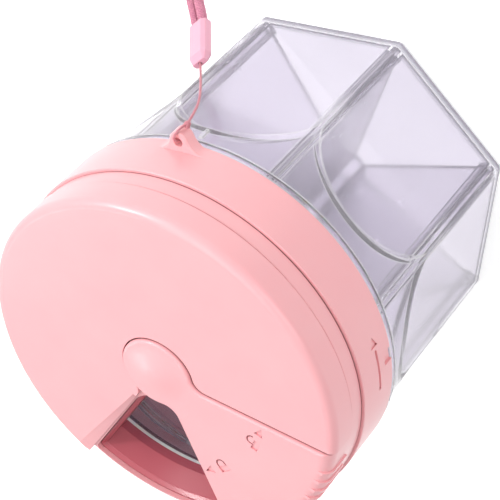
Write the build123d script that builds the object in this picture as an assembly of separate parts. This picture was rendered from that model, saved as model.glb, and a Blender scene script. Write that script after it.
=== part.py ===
# Seven-compartment pill organizer: a clear jar with seven flat sides, a wide twist lid
# and a wrist strap on a string. Millimetres, +Z up. The origin is the centre of the
# jar's underside, and compartment 1, with the alignment rib, faces -Y.
# At rest the lid is screwed down and its cover is turned open, so the outlet shows.
from build123d import *
from math import cos, degrees, pi, radians, sin, sqrt, tan
import os

# Overall
side_count = 7
lid_radius = 52.0            # collar, the widest round part
jar_height = 70.7            # standing face up to the collar's lower edge
first_side_angle = 270.0

# Clearances
fit_gap = 0.15
slide_gap = 0.3
band_gap = 0.2               # between the collar and the dial's band above it
seal_gap = 0.05
lap = 0.3                    # how far a rib, lug or boss is rooted in its wall
past = 1.0                   # how far a cut runs past the face that it opens

# Jar
jar_step = 2.2               # the round body stands this far inside the collar
side_depth = 4.75            # how far a flat side is cut into the round body
jar_wall = 1.8
jar_floor = 2.0
base_chamfer = 0.8
ledge_drop = 14.9            # collar's lower edge down to the top of a flat side
ledge_depth = 16.6           # height of the rounded top end of a flat side
ledge_flare = 9.0            # how far the sloping ledge is carried outwards
rim_ring_step = 0.4          # the clear ring under the collar, inside the collar's edge
rim_ring_height = 2.2
neck_wall = 2.0
neck_rise = 15.6             # collar's lower edge up to the neck's top
shoulder_height = 2.6
tick_length = 3.5
tick_width = 1.0
tick_height = 0.5
tick_drop = 5.4

# Divider insert
divider_wall = 1.4
divider_hub_radius = 5.8
divider_hub_wall = 1.5
guide_wall = 0.7
guide_lap = 1.2              # how far the guide ribs reach in over a divider wall's edge
guide_top_drop = 1.2

# Quick thread between neck and collar
thread_starts = 4
thread_lead = 36.0
thread_room = 2.6            # from the neck out to the inside of the collar
thread_radial_gap = 0.5
thread_ridge_width = 1.6     # height of a ridge along the axis
neck_ridge_turn = 60.0
neck_ridge_drop = 12.8       # neck's top down to the foot of a ridge
collar_lug_turn = 20.0
collar_lug_entry = 1.8       # foot of a neck ridge up to the foot of a lug

# Collar
collar_height = 14.4
collar_wall = 2.0
collar_web = 1.8             # thickness of the step that joins skirt and carrier ring
collar_edge = 0.2
collar_deck = 1.4            # thickness of the inner deck over the neck
carrier_wall = 1.5
carrier_rise = 3.5           # above the collar's outer top edge
snap_height = 0.3
snap_width = 0.8
snap_drop = 1.2              # carrier's top down to the foot of its snap bead
notch_angle = 181.6
notch_width = 3.8
notch_height = 3.4
notch_depth = 0.8
arrow_angle = 190.0
arrow_size = 2.9
arrow_height = 6.4           # above the collar's lower edge
arrow_gap = 1.0
arrow_tail_turn = 14.0
arrow_tail_width = 0.9
mark_depth = 0.5

# Strap tab on the collar
tab_angle = 269.4
tab_length = 5.5             # from the collar's side out to the tab's nose
tab_nose_radius = 2.7
tab_flare = 5.0
tab_edge = 0.4
tab_thickness = 3.9
tab_lift = 0.3               # tab's underside above the collar's lower edge
tab_hole_radius = 1.3

# Dial, with its hub, sector and outlet
dial_step = 0.8              # the dial's band stands this far inside the collar
band_height = 5.0
band_wall = 1.5
drum_wall = 1.9
drum_shoulder = 1.4
drum_inner_shoulder = 0.6
deck_rise = 26.8             # collar's lower edge up to the dial's deck
deck_wall = 1.8
dial_edge = 0.4              # chamfer on the band's upper edge
band_edge = 0.12             # chamfer on its lower edge
catch_rise = 0.6             # band's lower edge up to its inward snap bead
catch_width = 0.8
hub_radius = 10.6
hub_blend = 4.2
hub_rise = 0.9               # hub and sector stand this much above the cover
hub_edge = 0.8
hub_dome = 1.2               # soft swell in the middle of the hub
hub_dome_radius = 9.6
sector_start = 105.6
sector_end = 168.2
sector_shoulder = 3.4
outlet_start = 52.2
outlet_land = 3.2            # degrees of deck between the outlet and the sector
outlet_step = 1.4            # rim of the deck between the outlet and the drum's side
outlet_inner_radius = 8.8
outlet_corner = 1.2
grip_count = 12
grip_first = 160.0
grip_pitch = 4.5
grip_width = 1.1
grip_height = 0.5
grip_reach = 4.6             # how far a rib runs in over the top
grip_length = 5.6            # how far it runs down the side
boss_radius = 6.5
track_depth = 0.5
track_width = 1.4
track_rise = 0.6

# Cover
cover_step = 0.4             # the cover stands this far inside the collar
cover_wall = 1.5
cover_gap = 0.4              # between the cover's skirt and the drum
cover_shoulder = 2.4
cover_start = 51.6           # angle of the cover's leading edge at rest
cover_slope_turn = 4.3       # degrees that the leading edge leans back, so that a thumb slides off
cover_edge = 0.12
cover_top = 28.6             # above the collar's lower edge
cover_stop_gap = 0.4         # degrees left between cover and sector when it is shut
cover_bead_height = 1.1

# Outlet chute, selector plate and seals
chute_wall = 1.2
chute_sink = 1.4
chute_chamfer = 0.9
chute_flange = 1.3
chute_flange_height = 1.2
plate_wall = 1.6
pad_wall = 0.95
gasket_wall = 0.86
gasket_width = 1.8
slip_ring_wall = 0.3
slip_ring_width = 1.2
seal_wall = 0.6
seal_recess = 0.45
seal_inset = 1.0

# Click spring and the notches that it falls into
spring_span = 22.0
spring_rise = 2.6
spring_wall = 0.4
spring_height = 1.2
spring_stand_out = 0.25      # crown beyond the plate's rim
spring_pocket_depth = 4.4
click_notch_radius = 3.0
click_notch_depth = 0.6

# Centre screw
screw_shank_radius = 1.95
screw_bore_depth = 7.0
screw_end_gap = 0.6
screw_head_radius = 3.5
screw_head_height = 2.0
screw_slot_width = 1.0
screw_slot_depth = 1.1
washer_radius = 4.5
washer_wall = 0.7

# Engraved padlocks and their arrows
lock_angle = 121.5
unlock_angle = 152.4
icon_radius = 31.2
lock_body_width = 3.4
lock_body_height = 1.9
shackle_radius = 1.05
shackle_line = 0.45
shackle_leg = 0.7
shackle_swing = 1.2          # sideways shift of the open shackle
icon_arrow = 2.6
icon_arrow_length = 2.8
icon_arrow_offset = 4.2
icon_arrow_rise = 0.6

# Wrist strap, string and bead
string_diameter = 0.7
strap_diameter = 2.4
knot_radius = 1.0
stopper_radius = 1.2
bead_wall = 0.45
bead_length = 12.9
bead_taper = 2.2
bead_nose_inset = 0.9        # how much smaller the bead's nose is, all round
bead_edge = 0.9
bead_slot_depth = 2.4
bead_chamber_length = 2.8

# Route of the string from the knot at the tab down to the bead
string_route = [
    (-2.2, -58.7, 72.2),
    (-2.1, -60.1, 67.6),
    (-0.6, -60.7, 63.4),
    (1.9, -61.0, 59.2),
    (4.2, -61.5, 55.5),
]
bead_foot = Vector(6.7, -62.3, 51.7)
bead_direction = Vector(4.8, -3.0, -8.2).normalized()
strand_side = Vector(-0.71, -0.66, -0.26)

# Route of the strap, from the bead down to the floor, round the loop and back
strap_down = [
    (19.4, -71.3, 32.1),
    (24.0, -75.8, 22.8),
    (31.0, -80.8, 14.0),
    (39.5, -85.8, 6.0),
]
strap_loop_end = [
    (49.5, -90.2, 1.5),
    (60.5, -92.6, 1.5),
    (71.0, -89.6, 1.5),
    (77.6, -81.2, 1.5),
    (76.6, -70.8, 1.5),
    (68.4, -64.2, 1.5),
    (57.6, -64.6, 1.5),
]
strap_up = [
    (47.8, -69.2, 4.6),
    (38.8, -72.4, 10.6),
    (30.2, -71.8, 18.8),
    (24.0, -68.7, 29.4),
]

# Radii worked out from the sizes above
jar_radius = lid_radius - jar_step
side_distance = jar_radius - side_depth
body_bore = jar_radius - jar_wall
rim_ring_radius = lid_radius - rim_ring_step
skirt_bore = lid_radius - collar_wall
neck_radius = skirt_bore - thread_room
neck_bore = neck_radius - neck_wall
plate_radius = neck_bore - slide_gap * 2 / 3
deck_edge = plate_radius + slide_gap + spring_stand_out / 2
dial_radius = lid_radius - dial_step
band_bore = dial_radius - band_wall
carrier_radius = band_bore - slide_gap - snap_height
carrier_bore = carrier_radius - carrier_wall
cover_radius = lid_radius - cover_step
cover_bore = cover_radius - cover_wall
drum_radius = cover_bore - cover_gap
drum_bore = drum_radius - drum_wall
outlet_reach = drum_radius - outlet_step
tab_reach = lid_radius + tab_length

# Heights worked out from the sizes above
neck_top = jar_height + neck_rise
collar_top = jar_height + collar_height
carrier_top = collar_top + carrier_rise
ledge_height = jar_height - ledge_drop
deck_underside = neck_top + gasket_wall + 2 * seal_gap
collar_deck_top = deck_underside + collar_deck
pad_foot = neck_top + seal_gap
plate_foot = pad_foot + pad_wall
plate_top = plate_foot + plate_wall
band_foot = collar_top + band_gap
band_top = band_foot + band_height
web_foot = carrier_top + slip_ring_wall + seal_gap
deck_top = jar_height + deck_rise
deck_underneath = deck_top - deck_wall
cover_height = jar_height + cover_top
hub_top = cover_height + hub_rise
cover_underside = cover_height - cover_wall
cover_foot = band_top + slide_gap
track_foot = band_top + track_rise

# Angles worked out from the sizes above
side_step = 360 / side_count
outlet_end = sector_start - outlet_land
cover_end = sector_end
thread_width_angle = thread_ridge_width / thread_lead * 360


def at_angle(angle, radius, z=0.0):
    return Vector(radius * cos(radians(angle)), radius * sin(radians(angle)), z)


def turned(shape, angle):
    return shape.rotate(Axis.Z, angle)


def disc(radius, foot, top):
    return Pos(0, 0, foot) * Cylinder(radius, top - foot, align=(Align.CENTER, Align.CENTER, Align.MIN))


def ring(outer, inner, foot, top):
    return disc(outer, foot, top) - disc(inner, foot - past, top + past)


def spun(points):
    """Turns an outline of radius and height points once round the axis."""
    outline = Polyline(*[(r, 0, z) for r, z in points], close=True)
    return revolve(make_face(outline), Axis.Z)


def raised(sketch, foot, top):
    return extrude(Pos(0, 0, foot) * sketch, top - foot)


def pie(start, end, reach=2 * lid_radius):
    """A flat wedge from the axis, between two angles."""
    middle = (start + end) / 2
    far = reach / cos(radians((end - start) / 4))
    corners = [(0, 0), at_angle(start, reach), at_angle((start + middle) / 2, far)]
    corners += [at_angle(middle, reach), at_angle((middle + end) / 2, far), at_angle(end, reach)]
    return make_face(Polyline(*corners, close=True))


def shouldered(radius, shoulder, foot, top, inset=0.0):
    """A solid of revolution with a rounded shoulder, seen from outside."""
    r = radius - inset
    curve = shoulder - inset
    crown = top - inset
    bulge = curve * (1 - sqrt(0.5))
    floor = Line((0, 0, foot), (r, 0, foot))
    wall = Line((r, 0, foot), (r, 0, crown - curve))
    shoulder_arc = ThreePointArc((r, 0, crown - curve), (r - bulge, 0, crown - bulge), (r - curve, 0, crown))
    roof = Line((r - curve, 0, crown), (0, 0, crown))
    axis = Line((0, 0, crown), (0, 0, foot))
    return revolve(make_face([floor, wall, shoulder_arc, roof, axis]), Axis.Z)


def hub_and_wedge(start, end):
    """The hub's circle joined to a wedge, with blended inner corners."""
    shape = Circle(hub_radius) + pie(start, end)
    inner = shape.vertices().filter_by(lambda v: abs(v.center().length - hub_radius) < 0.01)
    return fillet(inner, hub_blend)


def outlet_outline(grow=0.0, reach=outlet_reach):
    """The outlet seen from above, with its round inner end."""
    wedge = pie(outlet_start, outlet_end) & Circle(reach)
    point = wedge.vertices().filter_by(lambda v: v.center().length < 0.01)
    wedge = fillet(point, outlet_inner_radius)
    rim = wedge.vertices().filter_by(lambda v: abs(v.center().length - reach) < 0.01)
    wedge = fillet(rim, outlet_corner)
    return offset(wedge, grow) if grow else wedge


# Jar

def side_outline(grow):
    """Outline of a flat side, with its rounded top, in the side's own plane."""
    half = jar_radius * sin(pi / side_count) + past / 10 + grow
    depth = ledge_depth + grow
    top = ledge_height + grow
    straight = Pos(0, (top - depth - past) / 2) * Rectangle(2 * half, top - depth + past)
    return straight + Pos(0, top - depth) * Ellipse(half, depth)


def side_cutter(distance, grow):
    """What is cut away outside one flat side. Its rounded end slopes at 45 degrees."""
    near = Plane(origin=(distance, 0, 0), x_dir=(0, 1, 0), z_dir=(1, 0, 0))
    far = near.offset(ledge_flare)
    sections = [near * side_outline(grow), far * side_outline(grow + ledge_flare)]
    return loft(sections, ruled=True)


def side_angles():
    return [first_side_angle + side_step * k for k in range(side_count)]


def corner_angles():
    return [first_side_angle + side_step * (k + 0.5) for k in range(side_count)]


def thread_ridge(inner, outer, foot, turn, start):
    """One helical ridge: a ring patch that climbs as it turns."""
    patch = (Circle(outer) - Circle(inner)) & pie(start, start + thread_width_angle)
    rise = turn / 360 * thread_lead
    face = Pos(0, 0, foot) * patch.faces()[0]
    return Solid.extrude_linear_with_rotation(face, (0, 0, foot), (0, 0, rise), turn)


def jar_outer():
    rim_top = jar_height - slide_gap
    body = disc(jar_radius, 0, rim_top)
    for angle in side_angles():
        body -= turned(side_cutter(side_distance, 0.0), angle)
    foot_edges = body.edges().filter_by(lambda e: abs(e.center().Z) < 0.01)
    body = chamfer(foot_edges, base_chamfer)
    rim = disc(rim_ring_radius, rim_top - rim_ring_height, rim_top)
    neck = disc(neck_radius, rim_top - lap, neck_top)
    return body + rim + neck


def jar_cavity():
    shoulder_top = jar_height - slide_gap - rim_ring_height
    shoulder_foot = shoulder_top - shoulder_height
    profile = [(0, jar_floor), (body_bore, jar_floor), (body_bore, shoulder_foot)]
    profile += [(neck_bore, shoulder_top), (neck_bore, neck_top + past), (0, neck_top + past)]
    room = spun(profile)
    inner_grow = jar_wall * (sqrt(2) - 1)
    for angle in side_angles():
        room -= turned(side_cutter(side_distance - jar_wall, inner_grow), angle)
    return room


def divider_reach():
    """The divider walls' outer edges pass down through the neck."""
    return neck_bore - fit_gap


def guide_ribs():
    """A pair of ribs at each corner holds the edge of one divider wall."""
    offset_y = divider_wall / 2 + fit_gap + guide_wall / 2
    inner = divider_reach() - guide_lap
    length = jar_radius - inner
    height = neck_top - guide_top_drop - jar_floor + lap
    ribs = []
    for angle in corner_angles():
        for side in (-1, 1):
            place = Pos(inner + length / 2, side * offset_y, jar_floor - lap + height / 2)
            ribs.append(turned(place * Box(length, guide_wall, height), angle))
    return ribs


def make_jar_shell():
    outer = jar_outer()
    jar = outer - jar_cavity()
    for rib in guide_ribs():
        jar += rib & outer
    crest = skirt_bore - thread_radial_gap - slide_gap
    for k in range(thread_starts):
        start = 360 / thread_starts * k
        jar += thread_ridge(neck_radius - lap, crest, neck_top - neck_ridge_drop, neck_ridge_turn, start)
    tick_z = jar_height - tick_drop - tick_length / 2
    tick = Pos(jar_radius, 0, tick_z) * Box(2 * tick_height, tick_width, tick_length)
    return jar + turned(tick, first_side_angle)


def make_divider_insert():
    """Seven upright walls round an open hub, dropped in from above."""
    foot = jar_floor + seal_gap
    height = neck_top - 2 * seal_gap - foot
    length = divider_reach()
    insert = disc(divider_hub_radius, foot, foot + height)
    for angle in corner_angles():
        wall = Pos(length / 2, 0, foot + height / 2) * Box(length, divider_wall, height)
        insert += turned(wall, angle)
    return insert - disc(divider_hub_radius - divider_hub_wall, foot - past, foot + height + past)


# Lid: gasket, collar and slip ring

def make_neck_gasket():
    outer = neck_radius - fit_gap
    return ring(outer, outer - gasket_width, neck_top + seal_gap, deck_underside - seal_gap)


def collar_body():
    r, e = lid_radius, collar_edge
    snap_z = carrier_top - snap_drop
    web_z = collar_top - collar_web
    profile = [(skirt_bore, jar_height), (r - e, jar_height), (r, jar_height + e)]
    profile += [(r, collar_top - e), (r - e, collar_top), (carrier_radius, collar_top)]
    profile += [(carrier_radius, snap_z), (carrier_radius + snap_height, snap_z + snap_width / 2)]
    profile += [(carrier_radius, snap_z + snap_width), (carrier_radius, carrier_top)]
    profile += [(carrier_bore, carrier_top), (carrier_bore, collar_deck_top), (deck_edge, collar_deck_top)]
    profile += [(deck_edge, deck_underside), (carrier_bore, deck_underside)]
    profile += [(carrier_bore, web_z), (skirt_bore, web_z)]
    return spun(profile)


def collar_lug(k):
    """A lug that runs under one neck ridge and pulls the lid down."""
    foot = neck_top - neck_ridge_drop + collar_lug_entry
    start = 360 / thread_starts * k + thread_width_angle
    start += (collar_lug_entry + slide_gap) / thread_lead * 360
    return thread_ridge(neck_radius + thread_radial_gap, skirt_bore + lap, foot, collar_lug_turn, start)


def tab():
    """The strap's tab: a rounded nose whose hollow flanks run out into the collar."""
    nose_x = tab_reach - tab_nose_radius
    far = lid_radius + tab_flare
    near = tab_nose_radius + tab_flare
    flare_x = (far ** 2 - near ** 2 + nose_x ** 2) / (2 * nose_x)
    flare_y = sqrt(far ** 2 - flare_x ** 2)
    root = Vector(flare_x, flare_y) * (lid_radius / far)
    flank = Vector(nose_x, 0) + Vector(flare_x - nose_x, flare_y) * (tab_nose_radius / near)
    inner = root.X - collar_wall
    half = [(inner, root.Y), (root.X, root.Y), (flare_x, flare_y), (flank.X, flank.Y)]
    mirrored = [(x, -y) for x, y in reversed(half)]
    outline = make_face(Polyline(*half, *mirrored, close=True)) + Pos(nose_x, 0) * Circle(tab_nose_radius)
    for side in (-1, 1):
        outline -= Pos(flare_x, side * flare_y) * Circle(tab_flare)
    foot = jar_height + tab_lift
    ear = raised(outline, foot, foot + tab_thickness)
    ear = chamfer(ear.edges().filter_by(lambda e: abs(e.tangent_at(0.5).Z) < 0.5), tab_edge)
    ear -= disc(lid_radius - collar_wall / 2, jar_height - past, collar_top)
    ear -= Pos(nose_x, 0, foot + tab_thickness / 2) * Cylinder(tab_hole_radius, tab_thickness + past)
    return turned(ear, tab_angle)


def collar_marks():
    """Arrow with a tail that shows which way the lid opens, and the little notch."""
    z = jar_height + arrow_height
    half = arrow_size / 2
    floor_radius = lid_radius - mark_depth
    plane = Plane(origin=at_angle(0, floor_radius, z), x_dir=(0, 1, 0), z_dir=(1, 0, 0))
    head = plane * make_face(Polyline((-half, half), (-half, -half), (half, 0), close=True))
    tail_end = arrow_angle - degrees((half + arrow_gap) / lid_radius)
    tail = Circle(lid_radius + past) - Circle(floor_radius)
    tail &= pie(tail_end - arrow_tail_turn, tail_end)
    notch_z = jar_height + (notch_height - past) / 2
    notch = Pos(lid_radius, 0, notch_z) * Box(2 * notch_depth, notch_width, notch_height + past)
    return [
        turned(extrude(head, mark_depth + past), arrow_angle),
        raised(tail, z - arrow_tail_width / 2, z + arrow_tail_width / 2),
        turned(notch, notch_angle),
    ]


def click_notch(angle):
    """A scallop in the inner deck's edge, where the spring's crown falls in."""
    centre = at_angle(angle, deck_edge + click_notch_depth - click_notch_radius)
    return Pos(*centre) * disc(click_notch_radius, deck_underside - past, collar_deck_top + past)


def make_collar():
    collar = collar_body()
    for k in range(thread_starts):
        collar += collar_lug(k)
    collar += tab()
    for mark in collar_marks():
        collar -= mark
    for angle in corner_angles():
        collar -= click_notch(angle)
    return collar


def make_slip_ring():
    outer = carrier_radius - fit_gap
    return ring(outer, outer - slip_ring_width, carrier_top, carrier_top + slip_ring_wall)


# Dial

def inner_bead(wall_radius, tip_radius, foot, width):
    """An inward bead on a wall, with sloping flanks."""
    root = wall_radius + lap
    tip = width / 3
    return spun([(root, foot), (tip_radius, foot + tip), (tip_radius, foot + 2 * tip), (root, foot + width)])


def dial_shell():
    """Band, drum and deck, without the sector."""
    r = dial_radius
    band = [(0, band_foot), (r - band_edge, band_foot), (r, band_foot + band_edge)]
    band += [(r, band_top - dial_edge), (r - dial_edge, band_top), (0, band_top)]
    shell = shouldered(drum_radius, drum_shoulder, band_foot, deck_top) + spun(band)
    shell -= disc(band_bore, band_foot - past, web_foot)
    shell -= drum_room(web_foot - past)
    shell += inner_bead(band_bore, carrier_radius + fit_gap, band_foot + catch_rise, catch_width)
    return shell - ring(drum_radius + past, drum_radius - track_depth, track_foot, track_foot + track_width)


def drum_room(foot):
    """The hollow of the drum."""
    return shouldered(drum_bore, drum_inner_shoulder, foot, deck_underneath)


def hub_swell():
    """A soft swell on the hub that runs out level at its edge."""
    r, foot = hub_dome_radius, hub_top - hub_edge
    crown = Spline((0, 0, hub_top + hub_dome), (r, 0, hub_top), tangents=[(1, 0, 0), (1, 0, 0)])
    sides = [Line((r, 0, hub_top), (r, 0, foot)), Line((r, 0, foot), (0, 0, foot))]
    sides.append(Line((0, 0, foot), (0, 0, hub_top + hub_dome)))
    return revolve(make_face([crown, *sides]), Axis.Z)


def sector_body():
    """Hub and sector, which stand a little above the cover."""
    outline = offset(hub_and_wedge(sector_start, cover_end), -slide_gap / 2)
    prism = raised(outline, band_foot, hub_top)
    prism = fillet(prism.edges().filter_by(lambda e: abs(e.center().Z - hub_top) < 0.01), hub_edge)
    solid = shouldered(dial_radius, sector_shoulder, band_top - 2 * dial_edge, hub_top)
    return (solid & prism) + hub_swell() - drum_room(band_foot)


def grip_ribs():
    """Short ribs over the sector's shoulder for the thumb."""
    foot = hub_top - sector_shoulder - grip_length
    crest = dial_radius + grip_height
    hull = shouldered(crest, sector_shoulder + grip_height, foot, hub_top + grip_height)
    core = shouldered(dial_radius - lap, sector_shoulder - lap, foot - past, hub_top - lap)
    slab = Pos(dial_radius, 0, (foot + hub_top) / 2) * Box(2 * grip_reach, grip_width, hub_top - foot)
    rib = (slab & hull) - core
    return [turned(rib, grip_first - k * grip_pitch) for k in range(grip_count)]


def padlock(angle, turn_side, open_shackle):
    """An engraved padlock and its arrow, read with the hub side up."""
    leg_x = shackle_radius + shackle_line / 2
    arch = Circle(shackle_radius + shackle_line) - Circle(shackle_radius)
    arch &= Pos(0, lock_body_width / 2) * Rectangle(2 * lock_body_width, lock_body_width)
    legs = [Pos(side * leg_x, -shackle_leg / 2) * Rectangle(shackle_line, shackle_leg) for side in (-1, 1)]
    shackle = arch + legs[0]
    if not open_shackle:
        shackle += legs[1]
    swing = shackle_swing if open_shackle else 0.0
    half = icon_arrow / 2
    tip = turn_side * icon_arrow_length
    arrow = make_face(Polyline((0, half), (0, -half), (tip, 0), close=True))
    icon = Rectangle(lock_body_width, lock_body_height)
    icon += Pos(swing, lock_body_height / 2 + shackle_leg) * shackle
    icon += Pos(turn_side * icon_arrow_offset, icon_arrow_rise) * arrow
    place = at_angle(angle, icon_radius, hub_top - mark_depth)
    return Pos(*place) * Rot(0, 0, angle + 90) * extrude(icon, mark_depth + past)


def make_dial():
    dial = dial_shell() + sector_body()
    for rib in grip_ribs():
        dial += rib
    dial -= raised(outlet_outline(), deck_underneath - 2 * past, hub_top + past)
    dial += disc(boss_radius, plate_top + seal_gap, deck_underneath + lap)
    dial -= disc(screw_shank_radius + seal_gap, plate_top - past, plate_top + screw_bore_depth)
    dial -= padlock(lock_angle, -1, False)
    return dial - padlock(unlock_angle, 1, True)


# Chute, plate, pad and spring under the dial

def chute_envelope(inset):
    """Outer side of the chute, which leans in towards its foot."""
    lip = outlet_reach - fit_gap - inset
    foot = plate_radius - inset
    profile = [(0, plate_foot - past), (foot, plate_foot - past), (foot, plate_top + chute_flange_height)]
    profile += [(lip, deck_underneath - fit_gap), (lip, deck_top + past), (0, deck_top + past)]
    return spun(profile)


def chute_bore_outline(grow=0.0):
    return outlet_outline(grow - fit_gap - chute_wall)


def make_outlet_chute():
    top = deck_top - chute_sink
    chute = raised(outlet_outline(-fit_gap), plate_foot, top) & chute_envelope(0.0)
    flange = raised(outlet_outline(chute_flange), plate_top, plate_top + chute_flange_height)
    chute += flange & disc(plate_radius, plate_foot, top)
    chute -= raised(chute_bore_outline(), plate_foot - past, top + past) & chute_envelope(chute_wall)
    funnel_foot = Pos(0, 0, top - chute_chamfer) * chute_bore_outline()
    funnel_top = Pos(0, 0, top) * chute_bore_outline(chute_chamfer)
    return chute - loft([funnel_foot, funnel_top], ruled=True)


def spring_angle():
    return (outlet_start + outlet_end) / 2 + 180


def make_selector_plate():
    foot, top = plate_foot - past, plate_top + past
    plate = disc(plate_radius, plate_foot, plate_top)
    plate -= raised(outlet_outline(), foot, top)
    plate -= disc(screw_shank_radius + fit_gap, foot, top)
    pocket_x = plate_radius - (spring_pocket_depth - past) / 2
    pocket_size = Box(spring_pocket_depth + past, spring_span + 2 * fit_gap, top - foot)
    return plate - turned(Pos(pocket_x, 0, (foot + top) / 2) * pocket_size, spring_angle())


def make_seal_pad():
    foot, top = pad_foot - past, plate_foot + past
    pad = disc(plate_radius, pad_foot, plate_foot)
    pad -= raised(chute_bore_outline(), foot, top) & disc(plate_radius - chute_wall, foot, top)
    return pad - disc(washer_radius + slide_gap, foot, top)


def make_click_spring():
    """A bowed leaf in the plate's rim pocket. Its crown falls into the collar's notches."""
    crown = plate_radius + spring_stand_out
    end = crown - spring_rise
    half = spring_span / 2
    back = end - spring_wall
    outer = ThreePointArc((end, -half), (crown, 0), (end, half))
    inner = ThreePointArc((back, half), (crown - spring_wall, 0), (back, -half))
    leaf = make_face([outer, Line((end, half), (back, half)), inner, Line((back, -half), (end, -half))])
    foot = plate_foot + (plate_wall - spring_height) / 2
    return turned(raised(leaf, foot, foot + spring_height), spring_angle())


def make_screw_washer():
    return ring(washer_radius, screw_shank_radius + fit_gap, plate_foot - washer_wall, plate_foot)


def make_centre_screw():
    head_top = plate_foot - washer_wall
    head_foot = head_top - screw_head_height
    head = disc(screw_head_radius, head_foot, head_top)
    rim = head.edges().filter_by(lambda e: abs(e.center().Z - head_foot) < 0.01)
    screw = fillet(rim, screw_head_height * 0.4)
    screw += disc(screw_shank_radius, head_top - lap, plate_top + screw_bore_depth - screw_end_gap)
    for turn in (0, 90):
        slot = Box(screw_head_radius * 1.1, screw_slot_width, 2 * screw_slot_depth)
        screw -= turned(Pos(0, 0, head_foot) * slot, turn)
    return screw


# Cover

def make_cover():
    """A shell that rides on the drum. Its cut-out leaves the hub and the sector free."""
    shell = shouldered(cover_radius, cover_shoulder, cover_foot, cover_height)
    shell -= shouldered(cover_radius, cover_shoulder, cover_foot - past, cover_height, cover_wall)
    bead_foot_z = track_foot + (track_width - cover_bead_height) / 2
    bead_tip = drum_radius - track_depth + slide_gap
    shell += inner_bead(cover_bore, bead_tip, bead_foot_z, cover_bead_height)
    cut = offset(hub_and_wedge(cover_start, cover_end), slide_gap / 2)
    shell -= raised(cut, cover_foot - past, cover_height + past)
    edge_foot = cover_height - cover_edge
    shell -= loft([Pos(0, 0, edge_foot) * cut, Pos(0, 0, cover_height) * offset(cut, cover_edge)], ruled=True)
    shell -= leading_slope()
    recess = turned(outlet_outline(fit_gap - seal_inset), -closing_turn())
    return shell - raised(recess, cover_underside - past, cover_underside + seal_recess)


def leading_slope():
    """What is cut off the cover's leading edge, so that it leans back."""
    foot = cover_underside + cover_wall / 5
    rise = cover_height + past - foot
    sections = []
    for reach in (hub_radius + hub_blend, lid_radius + past):
        lean = reach * tan(radians(cover_slope_turn)) * rise / (cover_height - foot)
        half = make_face(Polyline((0, 0), (-lean, rise), (past, rise), (past, 0), close=True))
        sections.append(Plane(origin=(reach, 0, foot), x_dir=(0, 1, 0), z_dir=(1, 0, 0)) * half)
    return turned(loft(sections, ruled=True), cover_start)


def closing_turn():
    """How far the cover turns to shut the outlet."""
    return sector_start - cover_start - cover_stop_gap


def make_outlet_seal():
    top = cover_underside + seal_recess
    outline = turned(outlet_outline(-seal_inset), -closing_turn())
    return raised(outline, top - seal_wall, top)


# String, knots, bead and strap

def route_radii(points):
    """As large a bend at each corner as its two runs allow."""
    radii = []
    for before, here, after in zip(points, points[1:], points[2:]):
        first = Vector(*here) - Vector(*before)
        second = Vector(*after) - Vector(*here)
        turn = radians(first.get_angle(second))
        radii.append(0.45 * min(first.length, second.length) / tan(turn / 2))
    return radii


def tube(points, diameter, name):
    points = [tuple(Vector(*p)) for p in points]
    radii = route_radii(points)
    path = FilletPolyline(*points, radius=radii)
    start = Plane(origin=path @ 0, z_dir=path % 0)
    solid = sweep(start * Circle(diameter / 2), path)
    ideal = pi * diameter ** 2 / 4 * path.length
    ratio = solid.volume / ideal
    print(f"{name}: length {path.length:.1f}, least radius {min(radii):.1f}, volume ratio {ratio:.3f}")
    return solid


def bead_plane(distance=0.0):
    """Plane across the bead, with its long side through both strands."""
    across = (strand_side - bead_direction * strand_side.dot(bead_direction)).normalized()
    return Plane(origin=bead_foot + bead_direction * distance, x_dir=across, z_dir=bead_direction)


def strand_offset():
    """Half the distance between the two strands in the bead."""
    return strap_diameter / 2 + slide_gap / 4


def chamber_foot():
    return bead_length - bead_slot_depth - bead_wall - bead_chamber_length


def make_bead():
    """A bevelled bead: narrow where the string goes in, open for two strands at the other end."""
    width = 2 * strand_offset() + strap_diameter + 2 * (fit_gap + bead_wall)
    thickness = strap_diameter + 2 * (fit_gap + bead_wall)
    full = Rectangle(width, thickness)
    full = chamfer(full.vertices(), bead_edge)
    nose = offset(full, -bead_nose_inset)
    body = loft([bead_plane() * nose, bead_plane(bead_taper) * full], ruled=True)
    body += extrude(bead_plane(bead_taper) * full, bead_length - bead_taper)
    body -= extrude(bead_plane(-1) * Circle(string_diameter / 2 + fit_gap), bead_length - bead_slot_depth)
    body -= extrude(bead_plane(chamber_foot()) * Circle(stopper_radius + fit_gap), bead_chamber_length)
    slot = Rectangle(2 * strand_offset(), strap_diameter + 2 * fit_gap)
    for side in (-1, 1):
        slot += Pos(side * strand_offset(), 0) * Circle(strap_diameter / 2 + fit_gap)
    return body - extrude(bead_plane(bead_length - bead_slot_depth) * slot, bead_slot_depth + 1)


def stopper_centre():
    return bead_foot + bead_direction * (chamber_foot() + bead_chamber_length / 2)


def flattened_ball(centre, direction, radius):
    """A knot with one flat face, where the string leaves it."""
    flat = radius * 0.85
    cut = Plane(origin=centre + direction * flat, z_dir=direction)
    return Pos(*centre) * Sphere(radius) - extrude(cut * Circle(2 * radius), radius)


def make_stopper_knot():
    return flattened_ball(stopper_centre(), -bead_direction, stopper_radius)


def first_run():
    """Direction in which the string leaves the knot at the tab."""
    return (Vector(*string_route[1]) - Vector(*string_route[0])).normalized()


def make_string_run():
    start = Vector(*string_route[0]) + first_run() * knot_radius * 0.85
    end = stopper_centre() - bead_direction * stopper_radius * 0.85
    entry = bead_foot - bead_direction * 0.6
    return tube([start] + string_route[1:] + [entry, end], string_diameter, "string_run")


def make_string_knot():
    """The knot at the tab's nose. The loop through the hole is cut out of it."""
    knot = flattened_ball(Vector(*string_route[0]), first_run(), knot_radius)
    return knot - make_string_hitch()


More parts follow.
